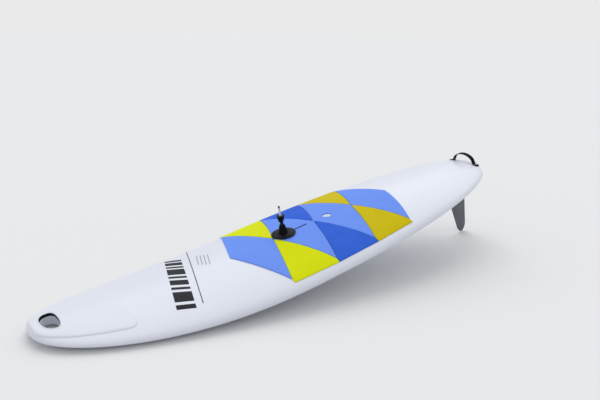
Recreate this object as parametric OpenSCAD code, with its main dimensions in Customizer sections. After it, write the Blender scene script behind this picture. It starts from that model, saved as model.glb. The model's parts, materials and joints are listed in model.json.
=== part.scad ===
// Windsurf board: laminated foam hull, argyle deck pad, mast foot in its track, nose grip, tail handle, fin.
// Everything is drawn in the board's own frame: X from tail to nose, Y to port, Z up, with Z = 0 on the
// deck's centreline amidships. stance() then sets it down on its bottom and its fin tip.

/* [Hull] */
// Length from tail to nose
board_length = 2600; // [2500:10:2700]
// Width at the widest station
board_width = 785; // [760:1:820]
// Thickness amidships
board_thickness = 125; // [122:1:132]
// Distance from the tail to the widest station
wide_x = 1331; // [1300:1:1380]
// Rise of the bottom at the nose
nose_rise = 179; // [165:1:190]
// Rise of the bottom at the tail
tail_rise = 44; // [36:1:48]
// Thickness of the laminated skins
skin = 5; // [4.5:0.5:5.5]

/* [Pad] */
// Thickness of the pad's foam above its glue line
pad_height = 4.5; // [4:0.1:4.6]
// Distance between two seam crossings on the centreline
pad_pitch = 250; // [244:1:255]
// Foremost point of the pad
pad_front = 1677; // [1660:1:1690]
// Width of the seams between panels
seam = 2.4; // [1.6:0.1:3]

/* [Mast foot] */
// Position of the mast foot along the board
foot_x = 1364; // [1250:1:1376]
// Radius of the deck plate
plate_radius = 62; // [58:1:64]
// Radius of the mast pin
pin_radius = 5.5; // [5:0.1:6]
// Top of the mast pin above the deck
pin_top = 157; // [152:1:165]

/* [Track] */
// Middle of the mast track
track_x = 1310; // [1306:1:1312]
// Length of the open slot
slot_length = 180; // [176:1:184]
// Width of the open slot
slot_width = 10; // [9.5:0.1:10.5]

/* [Fin] */
// Depth of the fin below the hull
fin_depth = 400; // [385:1:415]
// Chord of the fin at its root
fin_chord = 185; // [178:1:188]
// Position of the fin along the board
fin_x = 150; // [146:1:154]

/* [Grips] */
// Middle of the hand hole in the nose
grip_x = 2512; // [2508:1:2516]
// Length of the hand hole along the board
grip_length = 70; // [64:1:74]
// Width of the hand hole across the board
grip_width = 146; // [130:2:150]
// Height of the tail handle's arch
handle_rise = 50; // [42:1:56]
// Span of the tail handle between its screws
handle_span = 176; // [170:1:182]

/* [Hidden] */
$fn = 48;
half_beam = board_width / 2;
scoop_start = 1450;
kick_start = 1095;
tail_taper_start = 1200;
nose_thickness = 39;
tail_thickness = 36;
rail_share = 0.341;
wide_tail = [2.04, 0.378];
wide_nose = [2.33, 0.427];
scoop_power = 2.12;
section_power = 1.7;
section_root = 1.722;
end_radius = 22;
end_gap = 2;
rail_roundness = 2 / 7;
flat_gain = 1.03;
hull_steps = 50;
deck_steps = 18;
bottom_steps = 14;

pad_edge = [351, 358, 350, 330];
pad_front_bow = [0, 6, 6, 8];
pad_rear_bow = [0, 4, 4, 10];
pad_steps = 8;
glue_gap = 0.5;

track_half_width = 19;
track_length = slot_length + 60;
track_depth = 30;
track_top = -0.6;
chamber_half_width = 13;
chamber_top = -4.5;
chamber_floor = -25;

foot_gap = 0.3;
gasket_bottom = glue_gap + pad_height + foot_gap;
plate_bottom = gasket_bottom + 3;
plate_top = plate_bottom + 8;
hub_bottom = plate_top + foot_gap;
boss_radius = 13;
boss_top = plate_top + 9;
hub_top = 58;
flex_z = 67;
cup_bottom = 76;
cup_top = 106;
tendon_radius = 10;
tendon_bottom = 40.4;
tendon_top = 96.6;
bolt_radius = 4;
pin_foot = 98.5;
pin_collar = 7;
collar_top = 107.5;

vent_x = 1090;
vent_window = 24;

guard_rear = 2222;
guard_front = 2586;
guard_share = 0.78;
guard_depth = 2.6;
guard_lift = 0.6;

fin_steps = 18;
foil_steps = 10;
fin_box_length = 210;
fin_box_half_width = 13;
fin_box_depth = 29;
fin_slot_half_width = 5.1;
fin_slot_depth = 23;
fin_tab_rear = -80;
fin_tab_front = 81;
fin_tongue_start = 60;
fin_screw_x = 75;
fin_pin_x = -70;

handle_x = 36;
handle_width = 26;
handle_thickness = 3;
handle_steps = 24;

// ---------- hull form ----------
function unit(v) = min(max(v, 0), 1);
function half_width(x) =
    let (t = unit((wide_x - x) / wide_x), n = unit((x - wide_x) / (board_length - wide_x)))
    x < wide_x
        ? half_beam * pow(1 - pow(t, wide_tail[0]), wide_tail[1])
        : half_beam * pow(1 - pow(n, wide_nose[0]), wide_nose[1]);
function bottom_z(x) =
    -board_thickness
    + nose_rise * pow(unit((x - scoop_start) / (board_length - scoop_start)), scoop_power)
    + tail_rise * pow(unit((kick_start - x) / kick_start), 2);
function thickness(x) =
    let (s = unit((x - scoop_start) / (board_length - scoop_start)),
         t = unit((tail_taper_start - x) / tail_taper_start))
    x > scoop_start
        ? nose_thickness + (board_thickness - nose_thickness) * (1 - pow(s, 2.2))
        : tail_thickness + (board_thickness - tail_thickness) * (1 - pow(t, 2.2));
function rail_z(x) = bottom_z(x) + rail_share * thickness(x);
function end_round(x) =
    let (d = min(x, board_length - x)) d >= end_radius ? 1 : sqrt(1 - pow(1 - d / end_radius, 2));
function deck_height(x) = (1 - rail_share) * thickness(x) * end_round(x);
function keel_depth(x) = rail_share * thickness(x) * end_round(x);
function deck_z(x, y) =
    rail_z(x)
    + deck_height(x) * pow(unit(1 - pow(abs(y) / half_width(x), section_power)), 1 / section_root);
function station(i) =
    end_gap + (board_length - 2 * end_gap) * (1 - cos(180 * i / hull_steps)) / 2;
function inset_x(x, e) = x + e - 2 * e * x / board_length;
function deck_point(i, j, e) =
    let (x = station(i), a = 180 * j / deck_steps, c = cos(a))
    [inset_x(x, e),
     (half_width(x) - e) * sign(c) * pow(abs(c), 2 / section_power),
     rail_z(x) + (deck_height(x) - e) * pow(sin(a), 2 / section_root)];
function bottom_point(i, j, e) =
    let (x = station(i), a = 180 * j / bottom_steps, c = cos(a))
    [inset_x(x, e),
     (half_width(x) - e) * sign(c) * pow(abs(c), rail_roundness),
     rail_z(x) - (keel_depth(x) - e) * min(1, flat_gain * sin(a))];

// ---------- mesh helpers ----------
function quad(a, b, c, d, flip) = flip ? [[a, c, b], [a, d, c]] : [[a, b, c], [a, c, d]];
function turned(list, flip) = flip ? [for (k = [len(list) - 1:-1:0]) list[k]] : list;

// Faces of an open shell made of an outer and an inner sheet of (n+1) x (m+1) points
function shell_faces(n, m, flip) =
    let (row = m + 1, inner = (n + 1) * row)
    concat(
        [for (i = [0:n - 1], j = [0:m - 1])
            each quad(i * row + j, (i + 1) * row + j, (i + 1) * row + j + 1, i * row + j + 1, flip)],
        [for (i = [0:n - 1], j = [0:m - 1], o = [inner])
            each quad(o + i * row + j, o + (i + 1) * row + j, o + (i + 1) * row + j + 1,
                      o + i * row + j + 1, !flip)],
        [for (i = [0:n - 1])
            each quad((i + 1) * row, i * row, inner + i * row, inner + (i + 1) * row, flip)],
        [for (i = [0:n - 1])
            each quad(i * row + m, (i + 1) * row + m, inner + (i + 1) * row + m, inner + i * row + m, flip)],
        [turned([for (j = [0:m]) j], flip)],
        [turned([for (j = [m:-1:0]) inner + j], flip)],
        [turned([for (j = [m:-1:0]) n * row + j], flip)],
        [turned([for (j = [0:m]) inner + n * row + j], flip)],
        quad(0, m, inner + m, inner, flip),
        quad(n * row + m, n * row, inner + n * row, inner + n * row + m, flip));

// Faces of a closed slab: a top sheet, then a bottom sheet, each of (n+1) x (m+1) points
function slab_faces(n, m) =
    let (row = m + 1, under = (n + 1) * row)
    concat(
        [for (i = [0:n - 1], j = [0:m - 1])
            each quad(i * row + j, (i + 1) * row + j, (i + 1) * row + j + 1, i * row + j + 1, false)],
        [for (i = [0:n - 1], j = [0:m - 1])
            each quad(under + i * row + j, under + (i + 1) * row + j, under + (i + 1) * row + j + 1,
                      under + i * row + j + 1, true)],
        [for (i = [0:n - 1])
            each quad((i + 1) * row, i * row, under + i * row, under + (i + 1) * row, false)],
        [for (i = [0:n - 1])
            each quad(i * row + m, (i + 1) * row + m, under + (i + 1) * row + m, under + i * row + m, false)],
        [for (j = [0:m - 1]) each quad(j, j + 1, under + j + 1, under + j, false)],
        [for (j = [0:m - 1])
            each quad(n * row + j + 1, n * row + j, under + n * row + j, under + n * row + j + 1, false)]);

// A slab that follows the deck: plan(i, j) is given as a grid, low and high are heights above the deck
module deck_slab(grid, low, high) {
    n = len(grid) - 1;
    m = len(grid[0]) - 1;
    top = [for (i = [0:n], j = [0:m]) [grid[i][j].x, grid[i][j].y, deck_z(grid[i][j].x, grid[i][j].y) + high]];
    under = [for (i = [0:n], j = [0:m]) [grid[i][j].x, grid[i][j].y, deck_z(grid[i][j].x, grid[i][j].y) + low]];
    polyhedron(concat(top, under), slab_faces(n, m), convexity = 6);
}

// ---------- stance ----------
function fin_slope() = atan((bottom_z(fin_x - 80) - bottom_z(fin_x + 80)) / 160);
function fin_place(p) =
    let (a = fin_slope())
    [fin_x + p[0] * cos(a) + p[1] * sin(a), bottom_z(fin_x) - p[0] * sin(a) + p[1] * cos(a)];
function fin_share(k) = 1 - pow(1 - 0.998 * k / fin_steps, 1.35);
function fin_rounding(s) = s < 0.88 ? 1 : sqrt(max(1 - pow((s - 0.88) / 0.12, 2), 0));
function fin_middle(s) = (fin_front(s) + fin_back(s)) / 2;
function fin_front(s) = 0.41 * fin_chord - 0.424 * fin_chord * s;
function fin_back(s) = -0.59 * fin_chord + 0.24 * fin_chord * s;
function fin_half_chord(s) = fin_rounding(s) * (fin_front(s) - fin_back(s)) / 2;
function turned_z(x, z, p) = z * cos(p) - x * sin(p);
function turned_x(x, z, p) = x * cos(p) + z * sin(p);
function hull_low(p) =
    min([for (i = [0:hull_steps]) let (x = station(i)) turned_z(x, rail_z(x) - keel_depth(x), p)]);
function fin_low(p) =
    min([for (k = [0:fin_steps], e = [-1, 1])
        let (s = fin_share(k), q = fin_place([fin_middle(s) + e * fin_half_chord(s), -fin_depth * s]))
        turned_z(q[0], q[1], p)]);
function settle(a, b, n) =
    let (m = (a + b) / 2) n == 0 ? m : hull_low(m) > fin_low(m) ? settle(m, b, n - 1) : settle(a, m, n - 1);
pitch = settle(4, 18, 30);
ends = [for (i = [0:hull_steps], j = [0:deck_steps]) let (q = deck_point(i, j, 0)) turned_x(q.x, q.z, pitch)];
keels = [for (i = [0:hull_steps], j = [0:bottom_steps])
    let (q = bottom_point(i, j, 0)) turned_x(q.x, q.z, pitch)];
middle_x = (min(min(ends), min(keels)) + max(max(ends), max(keels))) / 2;

module stance() {
    translate([-middle_x, 0, -min(hull_low(pitch), fin_low(pitch))]) rotate([0, pitch, 0]) children();
}

// ---------- cutters ----------
module stadium(length, radius, low, high) {
    run = length / 2 - radius;
    translate([-run, -radius, low]) cube([2 * run, 2 * radius, high - low]);
    for (s = [-1, 1])
        translate([s * run, 0, low]) cylinder(r = radius, h = high - low);
}

module track_pocket(margin, low, high) {
    translate([track_x, 0, 0]) stadium(track_length + 2 * margin, track_half_width + margin, low, high);
}

module slot_window() {
    translate([track_x, 0, 0]) stadium(slot_length + 2, slot_width / 2 + 1, -5, 20);
}

// The hand hole narrows a little towards the nose
function grip_outline(margin) =
    [for (k = [0:47])
        let (a = 360 * (k + 0.5) / 48, c = cos(a), s = sin(a))
        [grip_x + (grip_length / 2 + margin) * sign(c) * pow(abs(c), 0.8),
         (grip_width / 2 + margin) * sign(s) * pow(abs(s), 0.8) * (1 - 0.2 * c)]];
module grip_prism(margin) {
    translate([0, 0, -60]) linear_extrude(height = 220) polygon(grip_outline(margin));
}

module vent_place() {
    translate([vent_x, 0, deck_z(vent_x, 0)]) children();
}

module fin_frame() {
    translate([fin_x, 0, bottom_z(fin_x)]) rotate([0, fin_slope(), 0]) children();
}

module fin_box_pocket() {
    fin_frame() translate([-fin_box_length / 2, -fin_box_half_width, -20])
        cube([fin_box_length, 2 * fin_box_half_width, fin_box_depth + 20]);
}

// The handle's two feet sit square on the curved tail deck
module handle_feet() {
    y = handle_span / 2;
    slope_y = atan((deck_z(handle_x, y - 8) - deck_z(handle_x, y + 8)) / 16);
    slope_x = atan((deck_z(handle_x - 8, y) - deck_z(handle_x + 8, y)) / 16);
    for (s = [-1, 1])
        translate([handle_x, s * y, deck_z(handle_x, y)]) rotate([-s * slope_y, slope_x, 0]) children();
}

module handle_insert_holes() {
    handle_feet() translate([0, 0, -20]) cylinder(r = 6, h = 30);
}

// ---------- hull ----------
module foam_core() {
    row = deck_steps + 1;
    under = (hull_steps + 1) * row;
    inner_row = bottom_steps - 1;
    top = [for (i = [0:hull_steps], j = [0:deck_steps]) deck_point(i, j, skin)];
    keel = [for (i = [0:hull_steps], j = [1:bottom_steps - 1]) bottom_point(i, j, skin)];
    faces = concat(
        [for (i = [0:hull_steps - 1], j = [0:deck_steps - 1])
            each quad(i * row + j, (i + 1) * row + j, (i + 1) * row + j + 1, i * row + j + 1, false)],
        [for (i = [0:hull_steps - 1], j = [0:bottom_steps - 1])
            let (a = keel_index(i, j, row, under, inner_row), b = keel_index(i + 1, j, row, under, inner_row),
                 c = keel_index(i + 1, j + 1, row, under, inner_row),
                 d = keel_index(i, j + 1, row, under, inner_row))
            each quad(a, b, c, d, true)],
        [concat([for (j = [0:deck_steps]) j], [for (j = [bottom_steps - 1:-1:1]) under + j - 1])],
        [concat([for (j = [deck_steps:-1:0]) hull_steps * row + j],
                [for (j = [1:bottom_steps - 1]) under + hull_steps * inner_row + j - 1])]);
    color("#efe9da") stance() difference() {
        polyhedron(concat(top, keel), faces, convexity = 6);
        track_pocket(0, -track_depth, 20);
        vent_place() translate([0, 0, -26]) cylinder(r = 10, h = 40);
        grip_prism(3.5);
        fin_box_pocket();
        handle_insert_holes();
    }
}
function keel_index(i, j, row, under, inner_row) =
    j == 0 ? i * row : j == bottom_steps ? i * row + row - 1 : under + i * inner_row + j - 1;

module deck_skin() {
    outer = [for (i = [0:hull_steps], j = [0:deck_steps]) deck_point(i, j, 0)];
    inner = [for (i = [0:hull_steps], j = [0:deck_steps]) deck_point(i, j, skin)];
    color("#f3f4f7") stance() difference() {
        polyhedron(concat(outer, inner), shell_faces(hull_steps, deck_steps, false), convexity = 8);
        track_pocket(0, -track_depth, 20);
        vent_place() translate([0, 0, -26]) cylinder(r = 10, h = 40);
        vent_place() translate([0, 0, -1.2]) cylinder(r = 15.4, h = 20);
        grip_prism(3.5);
        deck_slab(guard_grid(1.6), -guard_depth - 0.4, 8);
        handle_insert_holes();
    }
}

module bottom_skin() {
    outer = [for (i = [0:hull_steps], j = [0:bottom_steps]) bottom_point(i, j, 0)];
    inner = [for (i = [0:hull_steps], j = [0:bottom_steps]) bottom_point(i, j, skin)];
    color("#eceef2") stance() difference() {
        polyhedron(concat(outer, inner), shell_faces(hull_steps, bottom_steps, true), convexity = 8);
        grip_prism(3.5);
        fin_box_pocket();
    }
}

// ---------- nose ----------
function guard_half(x, margin) =
    let (r = unit((guard_rear + 46 - x) / 46))
    margin + guard_share * half_width(x) * (0.8 + 0.2 * sqrt(1 - r * r));
function guard_grid(margin) =
    [for (i = [0:16])
        let (x = guard_rear + (guard_front - guard_rear) * (1 - cos(180 * i / 16)) / 2)
        [for (j = [0:10])
            [x + margin * (i == 0 ? -1 : i == 16 ? 1 : 0), guard_half(x, margin) * cos(180 * j / 10)]]];
module nose_guard() {
    color("#f6f7fa") stance() difference() {
        deck_slab(guard_grid(0), -guard_depth, guard_lift);
        grip_prism(3.9);
    }
}

// Moulded liner of the hand hole, with a thin lip on the deck
module grip_liner() {
    color("#17181a") stance() difference() {
        union() {
            intersection() {
                grip_prism(3.5);
                nose_block(guard_lift + 0.3, 0.5);
            }
            intersection() {
                grip_prism(9);
                deck_slab(lip_grid(), guard_lift + 0.3, guard_lift + 2.3);
            }
        }
        grip_prism(0);
    }
}
function lip_grid() =
    [for (i = [0:10])
        [for (j = [0:12])
            [grip_x - grip_length / 2 - 14 + (grip_length + 28) * i / 10,
             (grip_width / 2 + 13) * cos(180 * j / 12) * (1.18 - 0.36 * i / 10)]]];
module nose_block(above, below) {
    n = 10;
    m = 12;
    grid = lip_grid();
    top = [for (i = [0:n], j = [0:m]) [grid[i][j].x, grid[i][j].y, deck_z(grid[i][j].x, grid[i][j].y) + above]];
    under = [for (i = [0:n], j = [0:m]) [grid[i][j].x, grid[i][j].y, keel_z(grid[i][j].x, grid[i][j].y) - below]];
    polyhedron(concat(top, under), slab_faces(n, m), convexity = 4);
}
function keel_z(x, y) =
    let (r = min(abs(y) / half_width(x), 1))
    rail_z(x) - keel_depth(x) * min(1, flat_gain * sqrt(max(1 - pow(r, 7), 0)));

// ---------- pad ----------
function crossing(k) = pad_front - pad_pitch * k;
function bow(v, t) = 4 * v * t * (1 - t);
// Seam from crossing k out and aft to the pad's edge, and from crossing k + 1 out and forward
function aft_seam(k, t) = [crossing(k) - pad_pitch / 2 * t - bow(pad_front_bow[k], t), pad_edge[k] * t];
function fore_seam(k, t) = [crossing(k + 1) + pad_pitch / 2 * t - bow(pad_rear_bow[k], t), pad_edge[k] * t];
function seam_share() = seam * 0.56;
// Rows of a panel draw closer together towards the rim, where the deck curves most
function rim_share(v) = sign(v) * (1 - pow(1 - abs(v), 1.5));
function diamond_grid(k) =
    [for (i = [0:2 * pad_steps])
        let (u = rim_share(i / pad_steps - 1) * 0.975, t = abs(u), a = aft_seam(k, t), b = fore_seam(k, t),
             g = seam_share(), side = u < 0 ? -1 : 1)
        [for (j = [0:pad_steps])
            let (x = b.x + g + (a.x - b.x - 2 * g) * j / pad_steps) [x, side * a.y]]];
function edge_grid(k) =
    [for (i = [0:pad_steps])
        let (t = 0.03 + 0.97 * rim_share(i / pad_steps), a = fore_seam(k, t), b = aft_seam(k + 1, t), g = seam_share())
        [for (j = [0:pad_steps])
            let (s = j / pad_steps)
            [b.x + g + (a.x - b.x - 2 * g) * s, b.y + (a.y - b.y) * s]]];
module centre_panel(k) {
    stance() difference() {
        deck_slab(diamond_grid(k), glue_gap, glue_gap + pad_height);
        slot_window();
        vent_place() translate([0, 0, -5]) cylinder(r = vent_window, h = 20);
    }
}
module edge_panel(k, side) {
    stance() mirror([0, side < 0 ? 1 : 0, 0]) deck_slab(edge_grid(k), glue_gap, glue_gap + pad_height);
}
module pad_centre_1() { color("#7896ee") centre_panel(0); }
module pad_centre_2() { color("#7896ee") centre_panel(1); }
module pad_centre_3() { color("#7896ee") centre_panel(2); }
module pad_centre_4() { color("#7896ee") centre_panel(3); }
module pad_port_1() { color("#d9e616") edge_panel(0, 1); }
module pad_port_2() { color("#3f70dc") edge_panel(1, 1); }
module pad_port_3() { color("#cbb90c") edge_panel(2, 1); }
module pad_starboard_1() { color("#d9e616") edge_panel(0, -1); }
module pad_starboard_2() { color("#3f70dc") edge_panel(1, -1); }
module pad_starboard_3() { color("#cbb90c") edge_panel(2, -1); }

// ---------- mast track and foot ----------
module mast_track() {
    color("#1b1c1e") stance() translate([track_x, 0, 0]) difference() {
        stadium(track_length, track_half_width, -track_depth, track_top);
        stadium(slot_length, slot_width / 2, chamber_top - 1, track_top + 1);
        stadium(slot_length + 20, chamber_half_width, chamber_floor, chamber_top);
    }
}

module at_foot() {
    stance() translate([foot_x, 0, 0]) children();
}

module track_nut() {
    color("#a7a9ac") at_foot() difference() {
        translate([-20, -11.5, chamber_top - 9.3]) cube([40, 23, 9]);
        translate([0, 0, chamber_top - 12]) cylinder(r = bolt_radius, h = 20);
    }
}

module foot_gasket() {
    color("#26272a") at_foot() difference() {
        translate([0, 0, gasket_bottom]) cylinder(r = plate_radius - 6, h = 3);
        translate([0, 0, gasket_bottom - 1]) cylinder(r = bolt_radius + 0.4, h = 6);
    }
}

module deck_plate() {
    color("#141517") at_foot() rotate_extrude() polygon([
        [bolt_radius + 0.3, plate_bottom], [plate_radius - 1, plate_bottom], [plate_radius, plate_bottom + 1],
        [plate_radius, plate_bottom + 2.4], [plate_radius - 2.5, plate_bottom + 4], [38, plate_top],
        [boss_radius, plate_top], [boss_radius, boss_top], [bolt_radius + 0.3, boss_top]]);
}

module foot_bolt() {
    color("#b9bbbe") at_foot() difference() {
        union() {
            translate([0, 0, chamber_floor + 3]) cylinder(r = bolt_radius, h = boss_top + 3 - chamber_floor - 3);
            translate([0, 0, boss_top + 2]) cylinder(r = 7, h = 5);
        }
        translate([0, 0, boss_top + 4]) cylinder(r = 3.5, h = 6, $fn = 6);
    }
}

module foot_washer() {
    color("#c4c6c8") at_foot() difference() {
        translate([0, 0, boss_top]) cylinder(r = 17, h = 2);
        translate([0, 0, boss_top - 1]) cylinder(r = bolt_radius, h = 4);
    }
}

module swivel_hub() {
    color("#141517") at_foot() difference() {
        rotate_extrude() polygon([
            [0, hub_bottom], [29, hub_bottom], [30.5, hub_bottom + 1.5], [30.5, hub_bottom + 4],
            [24, hub_bottom + 13], [18, hub_bottom + 27], [13.6, hub_top - 3], [12.6, hub_top], [0, hub_top]]);
        translate([0, 0, hub_bottom - 1]) cylinder(r = boss_radius + 0.05, h = 20);
        translate([0, 0, boss_top - 0.3]) cylinder(r = 17.6, h = 9.3);
        translate([0, 0, tendon_bottom - 0.4]) cylinder(r = tendon_radius + 0.3, h = 40);
        translate([0, 0, 49]) rotate([90, 0, 0]) cylinder(r = 3, h = 60, center = true);
    }
}

module flex_tendon() {
    color("#2a2b2e") at_foot() difference() {
        rotate_extrude() polygon(concat(
            [[0, tendon_bottom], [tendon_radius, tendon_bottom]],
            [for (k = [0:12])
                let (t = k / 12) [tendon_radius - 2.2 * pow(sin(180 * t), 2), hub_top + 0.5 + 17 * t]],
            [[tendon_radius, tendon_top], [0, tendon_top]]));
        for (z = [49, 86])
            translate([0, 0, z]) rotate([90, 0, 0]) cylinder(r = 3, h = 60, center = true);
    }
}

module cross_bolt(z, half_length) {
    color("#b9bbbe") at_foot() translate([0, 0, z]) rotate([90, 0, 0])
        cylinder(r = 3, h = 2 * half_length, center = true);
}
module lower_cross_bolt() { cross_bolt(49, 14); }
module upper_cross_bolt() { cross_bolt(86, 14.5); }

module upper_cup() {
    color("#141517") at_foot() difference() {
        rotate_extrude() polygon([
            [0, cup_bottom], [12.6, cup_bottom], [13.6, cup_bottom + 2], [17, cup_top - 12],
            [20.4, cup_top - 3], [20.4, cup_top - 1], [19.2, cup_top], [0, cup_top]]);
        translate([0, 0, cup_bottom - 1]) cylinder(r = tendon_radius + 0.3, h = tendon_top - cup_bottom + 1.4);
        translate([0, 0, 86]) rotate([90, 0, 0]) cylinder(r = 3, h = 60, center = true);
        translate([0, 0, pin_foot]) cylinder(r = pin_collar, h = collar_top - pin_foot);
    }
}

module mast_pin() {
    color("#c9ccd0") at_foot() rotate_extrude() polygon([
        [0, pin_foot], [pin_collar, pin_foot], [pin_collar, collar_top - 0.6], [pin_collar - 0.6, collar_top],
        [pin_radius, collar_top], [pin_radius, pin_top - 17], [pin_radius - 1.4, pin_top - 16],
        [pin_radius - 1.4, pin_top - 12], [pin_radius, pin_top - 11], [pin_radius, pin_top - 6], [0, pin_top - 6]]);
}

module pin_tip() {
    color("#1d1e20") at_foot() rotate_extrude() polygon([
        [0, pin_top - 6], [pin_radius, pin_top - 6], [pin_radius, pin_top - 2.5], [pin_radius - 1.6, pin_top - 0.6],
        [pin_radius - 3.4, pin_top], [0, pin_top]]);
}

// ---------- vent ----------
module vent_bush() {
    color("#eef0f2") stance() vent_place() difference() {
        union() {
            translate([0, 0, -26]) cylinder(r = 10, h = 26);
            translate([0, 0, -1.2]) cylinder(r = 15.2, h = 2.2);
        }
        translate([0, 0, -20]) cylinder(r = 4.1, h = 40);
        translate([0, 0, -1.4]) cylinder(r = 9.2, h = 10);
    }
}

module vent_seal() {
    color("#222326") stance() vent_place() translate([0, 0, -0.2]) rotate_extrude()
        translate([5.5, 0]) circle(r = 1.1);
}

module vent_screw() {
    color("#e9ebee") stance() vent_place() difference() {
        union() {
            translate([0, 0, -16]) cylinder(r = 4, h = 17.2);
            translate([0, 0, 1]) cylinder(r = 8.6, h = 3);
        }
        translate([-7, -1, 2.4]) cube([14, 2, 3]);
    }
}

// ---------- fin ----------
module fin_box() {
    color("#202124") stance() fin_frame() difference() {
        translate([-fin_box_length / 2, -fin_box_half_width, -0.4])
            cube([fin_box_length, 2 * fin_box_half_width, fin_box_depth + 0.4]);
        translate([0, 0, 0]) stadium(fin_box_length - 20, fin_slot_half_width, -2, fin_slot_depth);
        for (s = [-1, 1])
            translate([-fin_box_length / 2 + 10, s * (fin_slot_half_width + 0.9) - 2, 8])
                cube([fin_box_length - 20, 4, 5.2]);
    }
}

// Symmetric foil sections, stacked from the root to the rounded tip
function foil_point(k, j) =
    let (s = fin_share(k), a = 360 * j / (2 * foil_steps), c = cos(a), half = fin_half_chord(s),
         share = (1 - c) / 2, thick = (0.105 - 0.03 * s) * 2 * half)
    [fin_middle(s) + half * c,
     sign(sin(a)) * thick * 2.3 * (0.36 * sqrt(share) - 0.12 * share - 0.24 * share * share),
     -0.6 - (fin_depth - 0.6) * s];
module fin() {
    ring = 2 * foil_steps;
    points = [for (k = [0:fin_steps], j = [0:ring - 1]) foil_point(k, j)];
    faces = concat(
        [for (k = [0:fin_steps - 1], j = [0:ring - 1])
            each quad(k * ring + j, k * ring + (j + 1) % ring, (k + 1) * ring + (j + 1) % ring,
                      (k + 1) * ring + j, false)],
        [[for (j = [ring - 1:-1:0]) j]],
        [[for (j = [0:ring - 1]) fin_steps * ring + j]]);
    color("#5c6066") stance() fin_frame() difference() {
        union() {
            polyhedron(points, faces, convexity = 4);
            translate([fin_tab_rear, -4.6, -1.2]) cube([fin_tab_front - fin_tab_rear, 9.2, fin_slot_depth - 1]);
        }
        translate([fin_pin_x, 0, 10.6]) rotate([90, 0, 0]) cylinder(r = 2.4, h = 30, center = true);
        translate([fin_tongue_start, -6, 7]) cube([40, 12, 30]);
        translate([fin_screw_x, 0, -5]) cylinder(r = 2.2, h = 20);
        translate([fin_screw_x, 0, -5]) cylinder(r = 3.6, h = 7);
    }
}

module fin_pin() {
    color("#c9a24b") stance() fin_frame() translate([fin_pin_x, 0, 10.6]) rotate([90, 0, 0])
        cylinder(r = 2.4, h = 14.6, center = true);
}

module fin_screw() {
    color("#b9bbbe") stance() fin_frame() translate([fin_screw_x, 0, 0]) difference() {
        union() {
            translate([0, 0, -0.6]) cylinder(r = 3.4, h = 2.6);
            translate([0, 0, 1]) cylinder(r = 2, h = 13);
        }
        translate([-3, -0.5, -1]) cube([6, 1, 1.6]);
    }
}

module fin_nut() {
    color("#c9a24b") stance() fin_frame() translate([fin_screw_x, 0, 0]) difference() {
        translate([-6, -7.4, 8.6]) cube([12, 14.8, 3]);
        translate([0, 0, 5]) cylinder(r = 2, h = 12);
    }
}

// ---------- tail handle ----------
function handle_path(t) =
    let (y = handle_span / 2 - 16, z = deck_z(handle_x, handle_span / 2) + 6)
    [-y * cos(180 * t), z + handle_rise * pow(sin(180 * t), 0.8) * (1 - 0.04 * cos(360 * t))];
function handle_side(t, d) =
    let (a = handle_path(max(t - 0.01, 0)), b = handle_path(min(t + 0.01, 1)), v = (b - a) / norm(b - a))
    handle_path(t) + d * [-v.y, v.x];
module tail_handle() {
    steps = handle_steps;
    half = handle_thickness / 2;
    band = concat([for (k = [0:steps]) handle_side(k / steps, half)],
                  [for (k = [steps:-1:0]) handle_side(k / steps, -half)]);
    color("#131416") stance() difference() {
        union() {
            translate([handle_x + handle_width / 2, 0, 0]) rotate([90, 0, -90])
                linear_extrude(height = handle_width) polygon([for (p = band) [-p.x, p.y]]);
            handle_feet() translate([-handle_width / 2, -17, 0.7]) cube([handle_width, 34, 4]);
        }
        handle_feet() translate([0, 0, -1]) cylinder(r = 3.2, h = 10);
    }
}

module handle_washers() {
    color("#c4c6c8") stance() handle_feet() difference() {
        translate([0, 0, 4.8]) cylinder(r = 8, h = 1.4);
        cylinder(r = 3.1, h = 10);
    }
}

module handle_screws() {
    color("#b9bbbe") stance() handle_feet() difference() {
        union() {
            translate([0, 0, -14]) cylinder(r = 3, h = 20.4);
            translate([0, 0, 6.3]) cylinder(r = 5.4, h = 3);
        }
        translate([0, 0, 7.6]) cylinder(r = 2, h = 4, $fn = 6);
    }
}

module handle_inserts() {
    color("#d8d4c8") stance() handle_feet() difference() {
        translate([0, 0, -20]) cylinder(r = 6, h = 20.2);
        translate([0, 0, -17]) cylinder(r = 3, h = 20);
    }
}

foam_core();
deck_skin();
bottom_skin();
nose_guard();
grip_liner();
pad_centre_1();
pad_centre_2();
pad_centre_3();
pad_centre_4();
pad_port_1();
pad_port_2();
pad_port_3();
pad_starboard_1();
pad_starboard_2();
pad_starboard_3();
mast_track();
track_nut();
foot_gasket();
deck_plate();
foot_bolt();
foot_washer();
swivel_hub();
flex_tendon();
lower_cross_bolt();
upper_cross_bolt();
upper_cup();
mast_pin();
pin_tip();
vent_bush();
vent_seal();
vent_screw();
fin_box();
fin();
fin_pin();
fin_screw();
fin_nut();
tail_handle();
handle_washers();
handle_screws();
handle_inserts();
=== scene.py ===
"""Windsurf board: smooth hull, argyle foam pad, mast foot, nose grip, tail handle and fin.

Everything is worked out in the board's own frame: X from tail to nose, Y to port, Z up, zero on the
deck amidships. BOARD then lays it down, and comes from the mast foot's joints in the record.
"""
import json
import math
from collections import namedtuple

import bmesh
import bpy
from mathutils import Matrix, Vector


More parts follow.
